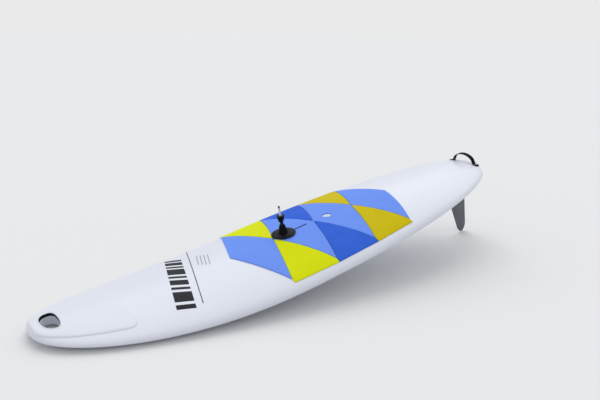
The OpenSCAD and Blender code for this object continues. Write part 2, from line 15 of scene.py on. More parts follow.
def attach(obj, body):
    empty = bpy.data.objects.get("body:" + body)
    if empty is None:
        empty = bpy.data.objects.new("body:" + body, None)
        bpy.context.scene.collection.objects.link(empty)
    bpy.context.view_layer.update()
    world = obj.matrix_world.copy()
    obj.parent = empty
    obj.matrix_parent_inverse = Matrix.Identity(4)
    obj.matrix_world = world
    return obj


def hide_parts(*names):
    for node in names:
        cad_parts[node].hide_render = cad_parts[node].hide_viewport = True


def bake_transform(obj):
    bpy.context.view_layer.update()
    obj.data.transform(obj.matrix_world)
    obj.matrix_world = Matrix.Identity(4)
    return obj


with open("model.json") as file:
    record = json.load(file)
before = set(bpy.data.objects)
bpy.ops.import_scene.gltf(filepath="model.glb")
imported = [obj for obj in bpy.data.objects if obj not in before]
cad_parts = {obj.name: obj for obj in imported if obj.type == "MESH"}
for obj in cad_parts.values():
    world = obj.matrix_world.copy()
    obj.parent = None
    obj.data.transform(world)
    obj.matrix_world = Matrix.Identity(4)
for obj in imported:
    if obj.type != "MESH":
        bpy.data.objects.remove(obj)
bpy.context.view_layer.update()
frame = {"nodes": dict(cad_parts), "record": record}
joints = {joint["name"]: joint for joint in frame["record"]["behaviour"]["joints"]}

# ---------------------------------------------------------------- board frame
FOOT_X = 1.364
SWIVEL_HEIGHT = 0.025
along = Vector(joints["foot_slide"]["axis"]).normalized()
upward = Vector(joints["foot_swivel"]["axis"]).normalized()
to_port = upward.cross(along)
origin = Vector(joints["foot_swivel"]["pos_m"]) - FOOT_X * along - SWIVEL_HEIGHT * upward
BOARD = Matrix.Translation(origin) @ Matrix((along, to_port, upward)).transposed().to_4x4()

# ---------------------------------------------------------------- hull form
LENGTH = 2.6
HALF_BEAM = 0.3925
WIDE_X = 1.331
SCOOP_START = 1.45
KICK_START = 1.095
TAPER_START = 1.2
DEPTH = 0.125
NOSE_SCOOP = 0.179
SCOOP_POWER = 2.12
TAIL_KICK = 0.044
NOSE_THICKNESS = 0.039
TAIL_THICKNESS = 0.036
TAPER_POWER = 2.2
RAIL_SHARE = 0.341
END_RADIUS = 0.022
# Outline of each end: how late it starts to narrow, and how bluntly it closes
TAIL_OUTLINE = (2.04, 0.378)
NOSE_OUTLINE = (2.33, 0.427)
# Cross-section of the deck and of the bottom
DECK_POWER = 1.7
DECK_ROOT = 1.722
KEEL_POWER = 7
KEEL_FULLNESS = 1.03


def unit(value):
    return min(max(value, 0.0), 1.0)


def narrowing(share, outline):
    late, blunt = outline
    return HALF_BEAM * (1 - unit(share) ** late) ** blunt


def half_width(x):
    if x < WIDE_X:
        return narrowing((WIDE_X - x) / WIDE_X, TAIL_OUTLINE)
    return narrowing((x - WIDE_X) / (LENGTH - WIDE_X), NOSE_OUTLINE)


def scoop_share(x):
    return unit((x - SCOOP_START) / (LENGTH - SCOOP_START))


def bottom_z(x):
    nose = NOSE_SCOOP * scoop_share(x) ** SCOOP_POWER
    return -DEPTH + nose + TAIL_KICK * unit((KICK_START - x) / KICK_START) ** 2


def thickness(x):
    if x > SCOOP_START:
        return NOSE_THICKNESS + (DEPTH - NOSE_THICKNESS) * (1 - scoop_share(x) ** TAPER_POWER)
    taper = unit((TAPER_START - x) / TAPER_START)
    return TAIL_THICKNESS + (DEPTH - TAIL_THICKNESS) * (1 - taper ** TAPER_POWER)


def end_round(x):
    gap = min(x, LENGTH - x)
    return 1.0 if gap >= END_RADIUS else math.sqrt(max(1 - (1 - gap / END_RADIUS) ** 2, 0))


def rail_z(x):
    return bottom_z(x) + RAIL_SHARE * thickness(x)


def deck_height(x):
    return (1 - RAIL_SHARE) * thickness(x) * end_round(x)


def keel_depth(x):
    return RAIL_SHARE * thickness(x) * end_round(x)


def deck_z(x, y):
    across = unit(1 - (abs(y) / half_width(x)) ** DECK_POWER)
    return rail_z(x) + deck_height(x) * across ** (1 / DECK_ROOT)


def keel_z(x, y):
    across = unit(abs(y) / half_width(x))
    full = KEEL_FULLNESS * math.sqrt(max(1 - across ** KEEL_POWER, 0))
    return rail_z(x) - keel_depth(x) * min(1.0, full)


def signed_power(value, power):
    return math.copysign(abs(value) ** power, value)


def even(count):
    return [k / count for k in range(count + 1)]


# ---------------------------------------------------------------- shader helpers
def new_group(name, inputs, outputs):
    group = bpy.data.node_groups.new(name, "ShaderNodeTree")
    for label, kind, value in inputs:
        socket = group.interface.new_socket(label, in_out="INPUT", socket_type=kind)
        socket.default_value = value
    for label, kind in outputs:
        group.interface.new_socket(label, in_out="OUTPUT", socket_type=kind)
    return group, group.nodes.new("NodeGroupInput"), group.nodes.new("NodeGroupOutput")


def maths(tree, operation, first, second):
    node = tree.nodes.new("ShaderNodeMath")
    node.operation = operation
    for socket, value in zip(node.inputs, (first, second)):
        if isinstance(value, (int, float)):
            socket.default_value = value
        else:
            tree.links.new(value, socket)
    return node.outputs[0]


def noise(tree, vector, scale, detail=3.0, rough=0.5):
    node = tree.nodes.new("ShaderNodeTexNoise")
    node.inputs["Detail"].default_value = detail
    node.inputs["Roughness"].default_value = rough
    tree.links.new(vector, node.inputs["Vector"])
    if isinstance(scale, (int, float)):
        node.inputs["Scale"].default_value = scale
    else:
        tree.links.new(scale, node.inputs["Scale"])
    return node.outputs["Fac"]


def ramp(tree, value, low, high):
    node = tree.nodes.new("ShaderNodeMapRange")
    node.inputs["From Min"].default_value = low
    node.inputs["From Max"].default_value = high
    tree.links.new(value, node.inputs["Value"])
    return node.outputs["Result"]


def build_mottle():
    """Slow drift of tone over a surface, with a finer cloud in it."""
    group, start, end = new_group(
        "Tone Drift",
        [("Vector", "NodeSocketVector", (0, 0, 0)), ("Base", "NodeSocketColor", (1, 1, 1, 1)),
         ("Tint", "NodeSocketColor", (1, 1, 1, 1)), ("Scale", "NodeSocketFloat", 4.0),
         ("Amount", "NodeSocketFloat", 0.2)],
        [("Color", "NodeSocketColor"), ("Mask", "NodeSocketFloat")])
    broad = noise(group, start.outputs["Vector"], start.outputs["Scale"], 4.0, 0.55)
    mask = maths(group, "MULTIPLY", ramp(group, broad, 0.35, 0.7), start.outputs["Amount"])
    mix = group.nodes.new("ShaderNodeMix")
    mix.data_type = "RGBA"
    group.links.new(mask, mix.inputs[0])
    group.links.new(start.outputs["Base"], mix.inputs[6])
    group.links.new(start.outputs["Tint"], mix.inputs[7])
    group.links.new(mix.outputs[2], end.inputs["Color"])
    group.links.new(mask, end.inputs["Mask"])
    return group


def build_grain():
    """Moulded or sanded grain: a height at one scale with a finer one over it."""
    group, start, end = new_group(
        "Surface Grain",
        [("Vector", "NodeSocketVector", (0, 0, 0)), ("Scale", "NodeSocketFloat", 900.0),
         ("Fine", "NodeSocketFloat", 0.4)],
        [("Height", "NodeSocketFloat")])
    coarse = noise(group, start.outputs["Vector"], start.outputs["Scale"], 2.0)
    finer = noise(group, start.outputs["Vector"],
                  maths(group, "MULTIPLY", start.outputs["Scale"], 3.1), 2.0)
    total = maths(group, "ADD", coarse, maths(group, "MULTIPLY", finer, start.outputs["Fine"]))
    group.links.new(total, end.inputs["Height"])
    return group


def build_scuffs():
    """Fine rubbed scratches that show only here and there."""
    group, start, end = new_group(
        "Scuffs",
        [("Vector", "NodeSocketVector", (0, 0, 0)), ("Scale", "NodeSocketFloat", 60.0),
         ("Amount", "NodeSocketFloat", 0.3)],
        [("Mask", "NodeSocketFloat")])
    stretch = group.nodes.new("ShaderNodeMapping")
    stretch.inputs["Scale"].default_value = (0.35, 6.0, 6.0)
    stretch.inputs["Rotation"].default_value = (0.2, 0.1, 0.5)
    group.links.new(start.outputs["Vector"], stretch.inputs["Vector"])
    scratches = noise(group, stretch.outputs["Vector"], start.outputs["Scale"], 2.0)
    lines = ramp(group, scratches, 0.62, 0.72)
    patches = ramp(group, noise(group, start.outputs["Vector"], 7.0, 2.0), 0.45, 0.7)
    rubbed = maths(group, "MULTIPLY", lines, patches)
    mask = maths(group, "MULTIPLY", rubbed, start.outputs["Amount"])
    group.links.new(mask, end.inputs["Mask"])
    return group


MOTTLE = build_mottle()
GRAIN = build_grain()
SCUFFS = build_scuffs()
SCRATCH_SCALE = 60.0
BUMP_STRENGTH = 0.6
COAT_ROUGHNESS = 0.18


def place_group(tree, group, vector, **values):
    node = tree.nodes.new("ShaderNodeGroup")
    node.node_tree = group
    tree.links.new(vector, node.inputs["Vector"])
    for label, value in values.items():
        node.inputs[label].default_value = value
    return node


def finish_of(name, base, tint, rough, drift, grain, scuff,
              metal=0.0, coat=0.0, sheen=0.0, gleam=0.35, extra=None):
    """A finish with tone drift, grain and rubbed patches.

    drift is scale and amount; grain is scale, fine share and bump height in mm.
    """
    material = bpy.data.materials.new(name)
    material.use_nodes = True
    tree = material.node_tree
    shader = tree.nodes["Principled BSDF"]
    vector = tree.nodes.new("ShaderNodeTexCoord").outputs["Object"]
    tone = place_group(tree, MOTTLE, vector, Base=(*base, 1), Tint=(*tint, 1),
                       Scale=drift[0], Amount=drift[1])
    rub = place_group(tree, SCUFFS, vector, Scale=SCRATCH_SCALE, Amount=scuff)
    grain_scale, fine_share, bump_mm = grain
    bumps = place_group(tree, GRAIN, vector, Scale=grain_scale, Fine=fine_share)
    tree.links.new(tone.outputs["Color"], shader.inputs["Base Color"])
    shade = maths(tree, "MULTIPLY", tone.outputs["Mask"], 0.25)
    rubbed = maths(tree, "ADD", maths(tree, "MULTIPLY", rub.outputs["Mask"], 0.5), shade)
    tree.links.new(maths(tree, "ADD", rubbed, rough), shader.inputs["Roughness"])
    height = bumps.outputs["Height"]
    if extra:
        height = maths(tree, "ADD", height, extra(tree, vector))
    bump = tree.nodes.new("ShaderNodeBump")
    bump.inputs["Distance"].default_value = bump_mm / 1000
    bump.inputs["Strength"].default_value = BUMP_STRENGTH
    tree.links.new(height, bump.inputs["Height"])
    tree.links.new(bump.outputs["Normal"], shader.inputs["Normal"])
    shader.inputs["Metallic"].default_value = metal
    shader.inputs["Coat Weight"].default_value = coat
    shader.inputs["Coat Roughness"].default_value = COAT_ROUGHNESS
    shader.inputs["Sheen Weight"].default_value = sheen
    shader.inputs["Specular IOR Level"].default_value = gleam
    return material


def cell_height(scale, low, high, gain):
    """Small raised cells with narrow grooves between them."""
    def build(tree, vector):
        node = tree.nodes.new("ShaderNodeTexVoronoi")
        node.feature = "DISTANCE_TO_EDGE"
        node.inputs["Scale"].default_value = scale
        tree.links.new(vector, node.inputs["Vector"])
        return maths(tree, "MULTIPLY", ramp(tree, node.outputs["Distance"], low, high), gain)
    return build


def weave_height(scale, gain):
    """Ribs of a woven strap, crossed by a finer rib."""
    def build(tree, vector):
        total = None
        for direction, size in (("Y", scale), ("X", scale * 1.7)):
            node = tree.nodes.new("ShaderNodeTexWave")
            node.bands_direction = direction
            node.inputs["Scale"].default_value = size
            node.inputs["Distortion"].default_value = 0.4
            tree.links.new(vector, node.inputs["Vector"])
            rib = node.outputs["Fac"]
            total = rib if total is None else maths(tree, "ADD", total, rib)
        return maths(tree, "MULTIPLY", total, gain)
    return build


def eva(name, base, tint):
    """Closed-cell deck foam, matt and finely pebbled."""
    return finish_of(name, base, tint, 0.62, (7.0, 0.35), (1100.0, 0.5, 0.35), 0.12,
                     gleam=0.05, extra=cell_height(230.0, 0.02, 0.12, 0.8))


FINISH = {
    "hull_white": finish_of(
        "hull gelcoat", (0.73, 0.75, 0.83), (0.695, 0.72, 0.815), 0.3,
        (2.2, 0.35), (260.0, 0.2, 0.02), 0.1, coat=0.12, gleam=0.3),
    "guard_white": finish_of(
        "nose panel satin", (0.73, 0.75, 0.83), (0.70, 0.72, 0.815), 0.38,
        (4.0, 0.3), (700.0, 0.5, 0.05), 0.15, coat=0.08, gleam=0.3),
    "foam": finish_of(
        "core foam", (0.85, 0.83, 0.76), (0.8, 0.77, 0.68), 0.85,
        (12.0, 0.4), (500.0, 0.6, 0.5), 0.0, extra=cell_height(300.0, 0.0, 0.2, 1.0)),
    "eva_light_blue": eva("pad light blue", (0.165, 0.315, 0.93), (0.14, 0.28, 0.86)),
    "eva_lime": eva("pad lime", (0.72, 0.78, 0.001), (0.65, 0.71, 0.001)),
    "eva_deep_blue": eva("pad deep blue", (0.035, 0.135, 0.7), (0.022, 0.095, 0.56)),
    "eva_gold": eva("pad gold", (0.64, 0.52, 0.001), (0.56, 0.41, 0.001)),
    "black_plastic": finish_of(
        "moulded nylon", (0.0035, 0.0035, 0.005), (0.007, 0.007, 0.009), 0.45,
        (40.0, 0.4), (1500.0, 0.5, 0.06), 0.2, gleam=0.07),
    "rubber_black": finish_of(
        "seal rubber", (0.02, 0.02, 0.022), (0.035, 0.035, 0.036), 0.6,
        (60.0, 0.4), (1800.0, 0.6, 0.08), 0.1, gleam=0.15),
    "urethane": finish_of(
        "tendon urethane", (0.006, 0.006, 0.008), (0.014, 0.014, 0.017), 0.4,
        (50.0, 0.4), (900.0, 0.4, 0.05), 0.1, gleam=0.2),
    "steel": finish_of(
        "turned steel", (0.62, 0.63, 0.65), (0.5, 0.51, 0.53), 0.22,
        (80.0, 0.4), (1400.0, 0.5, 0.03), 0.3, metal=1.0),
    "brass": finish_of(
        "turned brass", (0.62, 0.45, 0.16), (0.5, 0.36, 0.13), 0.26,
        (80.0, 0.5), (1400.0, 0.5, 0.03), 0.3, metal=1.0),
    "vent_white": finish_of(
        "vent acetal", (0.78, 0.79, 0.82), (0.7, 0.71, 0.75), 0.4,
        (60.0, 0.35), (1400.0, 0.5, 0.05), 0.1),
    "fin_grey": finish_of(
        "fin laminate", (0.1, 0.11, 0.125), (0.075, 0.085, 0.1), 0.36,
        (9.0, 0.5), (500.0, 0.4, 0.04), 0.25, coat=0.2),
    "webbing": finish_of(
        "strap webbing", (0.004, 0.004, 0.005), (0.012, 0.012, 0.014), 0.78,
        (60.0, 0.5), (1600.0, 0.6, 0.4), 0.0, sheen=0.04, gleam=0.1,
        extra=weave_height(190.0, 0.8)),
    "insert_plastic": finish_of(
        "insert plastic", (0.66, 0.63, 0.56), (0.6, 0.57, 0.5), 0.5,
        (60.0, 0.4), (1500.0, 0.5, 0.06), 0.1),
}
INK = finish_of("deck ink", (0.008, 0.008, 0.014), (0.02, 0.02, 0.03), 0.4,
                (30.0, 0.5), (900.0, 0.5, 0.02), 0.5, gleam=0.08)
PALE_INK = finish_of("pale deck ink", (0.3, 0.32, 0.38), (0.38, 0.4, 0.46), 0.4,
                     (30.0, 0.5), (900.0, 0.5, 0.02), 0.5)
THREAD = finish_of("strap thread", (0.2, 0.2, 0.21), (0.13, 0.13, 0.14), 0.7,
                   (200.0, 0.5), (2500.0, 0.5, 0.1), 0.0)

for entry in frame["record"]["subparts"]:
    node = frame["nodes"][entry["node"]]
    finish = FINISH[entry["material_slot"]]
    if not node.data.materials:
        node.data.materials.append(finish)
    for holder in node.material_slots:
        holder.material = finish


# ---------------------------------------------------------------- mesh helpers
def make_mesh(name, points, faces, place=BOARD):
    mesh = bpy.data.meshes.new(name)
    mesh.from_pydata([place @ Vector(p) for p in points], [], faces)
    mesh.update()
    return bpy.data.objects.new(name, mesh)


def dress(obj, slot, finish=None, crease=32):
    """Puts a piece in the scene with its finish, outward faces and smooth shading."""
    if obj.name not in bpy.context.scene.collection.objects:
        bpy.context.scene.collection.objects.link(obj)
    mesh = obj.data
    work = bmesh.new()
    work.from_mesh(mesh)
    bmesh.ops.remove_doubles(work, verts=work.verts, dist=1e-6)
    bmesh.ops.recalc_face_normals(work, faces=work.faces)
    work.to_mesh(mesh)
    work.free()
    for polygon in mesh.polygons:
        polygon.use_smooth = True
    mesh.set_sharp_from_angle(angle=math.radians(crease))
    mesh.materials.clear()
    mesh.materials.append(finish or FINISH[slot])
    return obj


def sheet_faces(rows, columns, base=0, flip=False):
    faces = []
    for i in range(rows - 1):
        for j in range(columns - 1):
            a = base + i * columns + j
            face = (a, a + columns, a + columns + 1, a + 1)
            faces.append(face[::-1] if flip else face)
    return faces


def slab(top, under):
    """Points and faces of a closed slab between two grids of points."""
    rows, columns = len(top), len(top[0])
    points = [p for row in top for p in row] + [p for row in under for p in row]
    base = rows * columns
    faces = sheet_faces(rows, columns) + sheet_faces(rows, columns, base, True)
    rim = list(range(columns))
    rim += [i * columns + columns - 1 for i in range(1, rows)]
    rim += [(rows - 1) * columns + j for j in range(columns - 2, -1, -1)]
    rim += [i * columns for i in range(rows - 2, 0, -1)]
    for a, b in zip(rim, rim[1:] + rim[:1]):
        faces.append((a, b, base + b, base + a))
    return points, faces


def loft_faces(rings, around):
    """Faces of a closed skin over rings of points, with a cap on the first and the last."""
    faces = []
    for i in range(rings - 1):
        here, beyond = i * around, (i + 1) * around
        for j in range(around):
            n = (j + 1) % around
            faces.append((here + j, here + n, beyond + n, beyond + j))
    last = (rings - 1) * around
    return faces + [tuple(range(around)), tuple(range(last, last + around))[::-1]]


def rectangle(left, right, low, high):
    return [(left, low), (right, low), (right, high), (left, high)]


def prism(outline, low, high):
    count = len(outline)
    points = [(x, y, low) for x, y in outline] + [(x, y, high) for x, y in outline]
    faces = [tuple(range(count))[::-1], tuple(range(count, 2 * count))]
    faces += [(k, (k + 1) % count, count + (k + 1) % count, count + k) for k in range(count)]
    return points, faces


def circle(x, y, radius, count=64):
    turns = [math.tau * k / count for k in range(count)]
    return [(x + radius * math.cos(turn), y + radius * math.sin(turn)) for turn in turns]


def stadium(x, length, radius):
    """A slot's outline with round ends, centred on x."""
    run = length / 2 - radius
    turns = [math.pi * (share - 0.5) for share in even(24)]
    end = [(x + run + radius * math.cos(turn), radius * math.sin(turn)) for turn in turns]
    return end + [(2 * x - p, -q) for p, q in end]


def soften(obj, width, segments):
    """A narrow bevel, so that an edge catches the light."""
    bevel = obj.modifiers.new("soft edges", "BEVEL")
    bevel.width = width
    bevel.segments = segments
    return bevel


def cut(obj, *cutters):
    """Takes closed solids, given as (points, faces, place), out of a piece."""
    tool_points, tool_faces = [], []
    for points, faces, place in cutters:
        shift = len(tool_points)
        tool_points += [place @ Vector(p) for p in points]
        tool_faces += [tuple(k + shift for k in face) for face in faces]
    tool = make_mesh("cutting_tool", tool_points, tool_faces, Matrix.Identity(4))
    for item in (obj, tool):
        if item.name not in bpy.context.scene.collection.objects:
            bpy.context.scene.collection.objects.link(item)
        work = bmesh.new()
        work.from_mesh(item.data)
        bmesh.ops.recalc_face_normals(work, faces=work.faces)
        work.to_mesh(item.data)
        work.free()
    boolean = obj.modifiers.new("cut", "BOOLEAN")
    boolean.operation = "DIFFERENCE"
    boolean.solver = "EXACT"
    boolean.object = tool
    view = bpy.context.evaluated_depsgraph_get()
    result = bpy.data.meshes.new_from_object(obj.evaluated_get(view))
    obj.modifiers.clear()
    obj.data = result
    bpy.data.objects.remove(tool)
    return obj


# Finger grooves round a turned piece, in mm: between two heights, and only outside a radius
Flutes = namedtuple("Flutes", "count depth low high inner_radius")


def lathe(name, profile, closed=False, segments=96, flutes=None, base=0.0):
    """A turned piece about the mast foot's upright. Profile points are (radius, height) in mm."""
    points, faces = [], []
    for k in range(segments):
        turn = math.tau * k / segments
        for radius, height in profile:
            r = radius
            if flutes and flutes.low <= height <= flutes.high and radius > flutes.inner_radius:
                r -= flutes.depth * max(0.0, math.cos(flutes.count * turn)) ** 0.6
            points.append((FOOT_X + r * math.cos(turn) / 1000, r * math.sin(turn) / 1000,
                           base + height / 1000))
    count = len(profile)
    for k in range(segments):
        for j in range(count if closed else count - 1):
            a, b = k * count, ((k + 1) % segments) * count
            n = (j + 1) % count
            faces.append((a + j, b + j, b + n, a + n))
    return make_mesh(name, points, faces)


# ---------------------------------------------------------------- hull
GRIP_X = 2.512
GRIP_LENGTH = 0.070
GRIP_WIDTH = 0.146
TRACK_X = 1.310
VENT_X = 1.090
GUARD_REAR = 2.222
GUARD_FRONT = 2.586
GUARD_SHARE = 0.78
GUARD_CORNER = 0.046
PANEL_RISE = 0.0048
FIN_X = 0.150
FIN_DEPTH = 0.400
FIN_CHORD = 0.185
# Levels that carry a cutter right through the board, and a window through the pad
THROUGH = (-0.1, 0.3)
PAD_DEEP = (-0.02, 0.03)
fin_slope = math.atan((bottom_z(FIN_X - 0.08) - bottom_z(FIN_X + 0.08)) / 0.16)
fin_root = Matrix.Translation((FIN_X, 0, bottom_z(FIN_X)))
FIN_FRAME = BOARD @ fin_root @ Matrix.Rotation(fin_slope, 4, "Y")


def grip_outline(margin, count=96):
    outline = []
    for k in range(count):
        turn = math.tau * (k + 0.5) / count
        c, s = math.cos(turn), math.sin(turn)
        outline.append((GRIP_X + (GRIP_LENGTH / 2 + margin) * signed_power(c, 0.8),
                        (GRIP_WIDTH / 2 + margin) * signed_power(s, 0.8) * (1 - 0.2 * c)))
    return outline


def guard_half(x, margin):
    r = unit((GUARD_REAR + GUARD_CORNER - x) / GUARD_CORNER)
    return margin + GUARD_SHARE * half_width(x) * (0.8 + 0.2 * math.sqrt(1 - r * r))


def guard_point(s, t, margin=0.0):
    x = GUARD_REAR + (GUARD_FRONT - GUARD_REAR) * (1 - math.cos(math.pi * s)) / 2
    x_out = x + margin * (-1 if s == 0 else 1 if s == 1 else 0)
    return x_out, guard_half(x, margin) * math.cos(math.pi * t)


def hull_ring(x):
    ring = []
    for k in range(73):
        a = math.pi * k / 72
        ring.append((x, half_width(x) * signed_power(math.cos(a), 2 / DECK_POWER),
                     rail_z(x) + deck_height(x) * abs(math.sin(a)) ** (2 / DECK_ROOT)))
    for k in range(47, 0, -1):
        a = math.pi * k / 48
        ring.append((x, half_width(x) * signed_power(math.cos(a), 2 / KEEL_POWER),
                     rail_z(x) - keel_depth(x) * min(1.0, KEEL_FULLNESS * math.sin(a))))
    return ring


def build_hull():
    """The smooth shell, with pockets for the nose panel, hand hole, track, vent and fin."""
    end_gap = 0.0004
    stations = [end_gap + (LENGTH - 2 * end_gap) * (1 - math.cos(math.pi * k / 180)) / 2
                for k in range(181)]
    rings = [hull_ring(x) for x in stations]
    points = [p for ring in rings for p in ring]
    hull = make_mesh("hull_shell", points, loft_faces(len(rings), len(rings[0])))
    recess = [[guard_point(s, t, -0.0015) for t in even(40)] for s in even(60)]
    guard_cut = slab([[(x, y, deck_z(x, y) + 0.008) for x, y in row] for row in recess],
                     [[(x, y, deck_z(x, y) - 0.003) for x, y in row] for row in recess])
    vent_z = deck_z(VENT_X, 0)
    fin_box = rectangle(-0.105, 0.105, -0.013, 0.013)
    cut(hull,
        (*guard_cut, BOARD),
        (*prism(grip_outline(0.0036), *THROUGH), BOARD),
        (*prism(stadium(TRACK_X, 0.240, 0.019), -0.030, 0.02), BOARD),
        (*prism(circle(VENT_X, 0, 0.0154), vent_z - 0.0012, vent_z + 0.02), BOARD),
        (*prism(fin_box, -0.02, 0.029), FIN_FRAME))
    dress(hull, "hull_white", crease=28)
    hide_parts("deck_skin", "bottom_skin")
    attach(hull, "hull")


def rim_values(count):
    """Parameters from 0 to 1 that crowd together at both ends, for a rounded rim."""
    edge = (0.0, 0.0015, 0.005, 0.011)
    middle = [edge[-1] + (1 - 2 * edge[-1]) * k / count for k in range(1, count)]
    return list(edge) + middle + [1 - v for v in reversed(edge)]


def crowned(plan, low, high, radius, fall, rows, columns):
    """A slab on the deck whose top falls off within radius of its rim.

    plan(s, t) gives the place of a point as (x, y), with s and t from 0 to 1 across the slab.
    """
    values_s, values_t = rim_values(rows), rim_values(columns)
    top, under = [], []
    for s in values_s:
        row_top, row_under = [], []
        for t in values_t:
            x, y = plan(s, t)
            gaps = []
            for other in (plan(0, t), plan(1, t), plan(s, 0), plan(s, 1)):
                gaps.append(math.hypot(x - other[0], y - other[1]))
            inside = unit(min(gaps) / radius)
            drop = fall * (1 - math.sqrt(max(1 - (1 - inside) ** 2, 0)))
            row_top.append((x, y, deck_z(x, y) + high - drop))
            row_under.append((x, y, deck_z(x, y) + low))
        top.append(row_top)
        under.append(row_under)
    return slab(top, under)


def build_nose_panel():
    points, faces = crowned(guard_point, -0.0028, PANEL_RISE, radius=0.015,
                            fall=PANEL_RISE - 0.0003, rows=90, columns=60)
    panel = make_mesh("nose_panel", points, faces)
    cut(panel, (*prism(grip_outline(0.0039), *THROUGH), BOARD))
    dress(panel, "guard_white", crease=40)
    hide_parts("nose_guard")
    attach(panel, "hull")


def ring_piece(name, section, slot, crease):
    """A closed ring round the hand hole.

    Section points are the margin outside the hole, a side, and the height above its surface.
    """
    around, levels = 96, len(section)
    points, faces = [], []
    for margin, side, offset in section:
        for x, y in grip_outline(margin, around):
            points.append((x, y, (deck_z(x, y) if side == "deck" else keel_z(x, y)) + offset))
    for i in range(levels):
        for k in range(around):
            a, b, n = i * around, ((i + 1) % levels) * around, (k + 1) % around
            faces.append((a + k, a + n, b + n, b + k))
    ring = dress(make_mesh(name, points, faces), slot, crease=crease)
    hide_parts("grip_liner")
    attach(ring, "hull")


def build_hand_hole():
    """A pale moulded sleeve with a soft lip, and the black band at the top of its throat."""
    top = PANEL_RISE
    ring_piece("hand_hole_sleeve", [
        (0.0080, "deck", top - 0.0008), (0.0078, "deck", top + 0.0004),
        (0.0066, "deck", top + 0.0012), (0.0044, "deck", top + 0.0014),
        (0.0022, "deck", top + 0.0009), (0.0008, "deck", top - 0.0002),
        (0.0001, "deck", top - 0.0018), (0.0, "deck", top - 0.004), (0.0, "deck", -0.010),
        (0.0, "keel", 0.004), (0.0004, "keel", 0.0006), (0.0014, "keel", -0.0004),
        (0.0034, "keel", -0.0005), (0.0034, "keel", 0.004), (0.0034, "deck", -0.004),
        (0.0034, "deck", top - 0.0008)], "guard_white", 50)
    ring_piece("hand_hole_band", [
        (0.0002, "deck", top - 0.0016), (-0.0006, "deck", top - 0.0024),
        (-0.0008, "deck", top - 0.0060), (-0.0008, "deck", top - 0.0135),
        (-0.0004, "deck", top - 0.0150), (0.0004, "deck", top - 0.0152)],
        "black_plastic", 50)


build_hull()
build_nose_panel()
build_hand_hole()

# ---------------------------------------------------------------- deck pad
PAD_FRONT = 1.677
PAD_PITCH = 0.250
PAD_EDGE = (0.351, 0.358, 0.350, 0.330)
FRONT_BOW = (0.0, 0.006, 0.006, 0.008)
REAR_BOW = (0.0, 0.004, 0.004, 0.010)
SEAM_HALF = 0.00135
TIP_SHARE = 0.945
PAD_LOW = 0.0004
PAD_HIGH = 0.0050


def crossing(k):
    return PAD_FRONT - PAD_PITCH * k


def aft_seam(k, t):
    reach = min(t / TIP_SHARE, 1.0)
    return crossing(k) - PAD_PITCH / 2 * reach - 4 * FRONT_BOW[k] * t * (1 - t), PAD_EDGE[k] * t


def fore_seam(k, t):
    reach = min(t / TIP_SHARE, 1.0)
    return crossing(k + 1) + PAD_PITCH / 2 * reach - 4 * REAR_BOW[k] * t * (1 - t), PAD_EDGE[k] * t


def diamond_plan(k):
    def plan(s, t):
        u = (2 * s - 1) * TIP_SHARE * 0.988
        front, rear = aft_seam(k, abs(u)), fore_seam(k, abs(u))
        low, high = rear[0] + SEAM_HALF, front[0] - SEAM_HALF
        return low + (high - low) * t, math.copysign(front[1], u)
    return plan


def edge_plan(k, side):
    def plan(s, t):
        v = 0.03 + 0.97 * s
        front, rear = fore_seam(k, v), aft_seam(k + 1, v)
        low, high = rear[0] + SEAM_HALF, front[0] - SEAM_HALF
        return low + (high - low) * t, side * (rear[1] + (front[1] - rear[1]) * t)
    return plan


def build_panel(name, node, plan, slot, cutters=()):
    points, faces = crowned(plan, PAD_LOW, PAD_HIGH, radius=0.0016, fall=0.0013,
                            rows=56, columns=34)
    panel = make_mesh(name, points, faces)
    if cutters:
        cut(panel, *cutters)
    dress(panel, slot, crease=38)
    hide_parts(node)
    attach(panel, "hull")


slot_window = (*prism(stadium(TRACK_X, 0.182, 0.006), *PAD_DEEP), BOARD)
vent_window = (*prism(circle(VENT_X, 0, 0.024), *PAD_DEEP), BOARD)
for number in range(4):
    windows = [(), (slot_window,), (vent_window,), ()][number]
    build_panel(f"pad_diamond_{number + 1}", f"pad_centre_{number + 1}", diamond_plan(number),
                "eva_light_blue", windows)
for number, slot_name in enumerate(("eva_lime", "eva_deep_blue", "eva_gold")):
    for word, side in (("port", 1), ("starboard", -1)):
        build_panel(f"pad_wedge_{word}_{number + 1}", f"pad_{word}_{number + 1}",
                    edge_plan(number, side), slot_name)

# ---------------------------------------------------------------- mast foot
# PIN_TOP is in mm above the deck; FOOT_SINK lowers the plate and the hub, in metres
PIN_TOP = 157.0
FOOT_SINK = -0.0005
plate = lathe("mast_foot_plate", [
    (4.3, 8.8), (60.6, 8.8), (61.6, 9.3), (62, 10.2), (62, 11.0), (61.4, 11.8), (59.4, 12.7),
    (54, 13.5), (46, 14.9), (40, 16.3), (38, 16.8), (34, 16.8), (33, 16.3), (32, 16.8),
    (16, 16.8), (13.6, 16.9), (13, 17.4), (13, 25.4), (12.6, 25.8), (4.3, 25.8)],
    closed=True, segments=144, base=FOOT_SINK,
    flutes=Flutes(count=24, depth=0.7, low=9.0, high=13.6, inner_radius=50))
dress(plate, "black_plastic", crease=30)
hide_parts("deck_plate")
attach(plate, "foot_base")

hub = lathe("swivel_housing", [
    (13.1, 17.1), (23, 17.1), (24, 17.6), (24.4, 18.8), (24.2, 21.6), (23.0, 23.2), (21.0, 25.4),
    (19.6, 29.6), (18.4, 36.0), (17.0, 43.0), (15.6, 50.0), (14.2, 55.0), (13.6, 56.6),
    (12.6, 57.7), (11.6, 58), (10.4, 58), (10.4, 40.2), (13.1, 40.2)],
    closed=True, segments=144, base=FOOT_SINK,
    flutes=Flutes(count=12, depth=1.1, low=23.0, high=52.0, inner_radius=14.0))
dress(hub, "black_plastic", crease=34)
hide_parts("swivel_hub")
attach(hub, "foot_hub")

